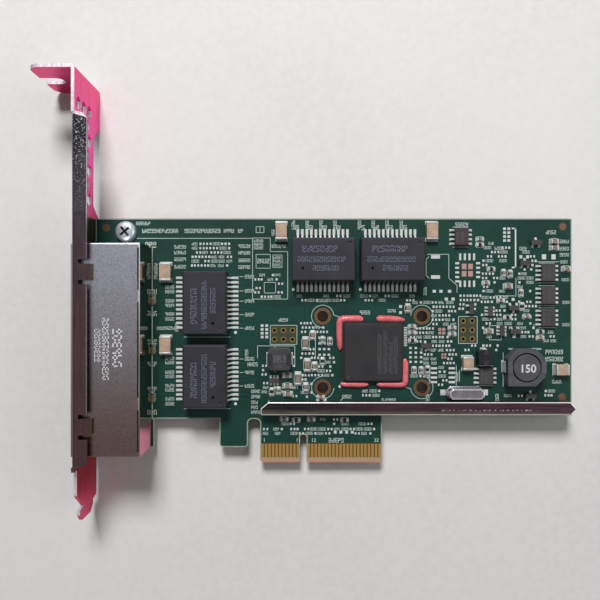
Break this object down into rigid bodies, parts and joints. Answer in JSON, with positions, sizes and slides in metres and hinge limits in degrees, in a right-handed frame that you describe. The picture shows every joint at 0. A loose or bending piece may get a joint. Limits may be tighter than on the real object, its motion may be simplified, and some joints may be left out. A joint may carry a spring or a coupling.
{
  "type": "network interface card",
  "caption": "Flat plug-in circuit card with a row of shielded network ports on a folded steel bracket, square chip, line transformers and gilt edge contacts.",
  "frame": {"origin": "centre line of the key slot, at the tip of the edge contacts, in the middle of the board's thickness", "axes": "+X along the card away from the bracket, +Y up across the card from the edge contacts, +Z out of the component side"},
  "size_m": [0.1466, 0.12, 0.0197],
  "materials": {
    "board_mask": "satin green solder mask",
    "contact_gilt": "satin gold plating",
    "bracket_plating": "satin plated steel",
    "screw_plating": "bright plated steel",
    "jack_moulding": "fine matt black",
    "jack_plating": "satin plated sheet",
    "wire_gilt": "polished gold plating",
    "light_pipe": "milky clear",
    "bar_plating": "bright nickel",
    "solder": "dull solder",
    "chip_carrier": "satin laminate",
    "chip_cover": "fine matt moulding",
    "bond_resin": "glossy red resin",
    "transformer_case": "grained moulding",
    "tinned_lead": "bright tin",
    "chip_moulding": "fine matt moulding",
    "ferrite": "ground ferrite",
    "coil_top": "coated drum end",
    "choke_moulding": "grained moulding",
    "crystal_base": "moulded insulator",
    "crystal_can": "polished nickel",
    "capacitor_body": "fired tan ceramic",
    "end_metal": "tinned ends",
    "small_chip": "fired ceramic with tinned ends"
  },
  "bodies": {
    "root": {"block_inductor_body": "choke_moulding", "block_inductor_clips": "tinned_lead", "bracket": "bracket_plating", "bracket_screw": "screw_plating", "choke_body": "choke_moulding", "choke_clips": "tinned_lead", "circuit_board": "board_mask", "controller_balls": "solder", "controller_cover": "chip_cover", "controller_substrate": "chip_carrier", "corner_bond": "bond_resin", "crystal_base": "crystal_base", "crystal_can": "crystal_can", "crystal_leads": "tinned_lead", "edge_contacts_back": "contact_gilt", "edge_contacts_front": "contact_gilt", "flash_memory_body": "chip_moulding", "flash_memory_leads": "tinned_lead", "jack_housing": "jack_moulding", "jack_lights": "light_pipe", "jack_shield": "jack_plating", "jack_wires": "wire_gilt", "large_chip_bodies": "capacitor_body", "large_chip_ends": "end_metal", "line_driver_body": "chip_moulding", "line_driver_leads": "tinned_lead", "medium_chip_bodies": "capacitor_body", "medium_chip_ends": "end_metal", "power_inductor_clips": "tinned_lead", "power_inductor_core": "ferrite", "power_inductor_drum": "coil_top", "regulator_body": "chip_moulding", "regulator_leads": "tinned_lead", "small_chips": "small_chip", "stiffener_bar": "bar_plating", "surge_capacitor_bodies": "capacitor_body", "surge_capacitor_ends": "end_metal", "tank_capacitor_bodies": "capacitor_body", "tank_capacitor_ends": "end_metal", "transformer_case_1": "transformer_case", "transformer_case_2": "transformer_case", "transformer_case_3": "transformer_case", "transformer_case_4": "transformer_case", "transformer_leads_1": "tinned_lead", "transformer_leads_2": "tinned_lead", "transformer_leads_3": "tinned_lead", "transformer_leads_4": "tinned_lead", "transistor_bodies": "chip_moulding", "transistor_leads": "tinned_lead"}
  },
  "joints": []
}
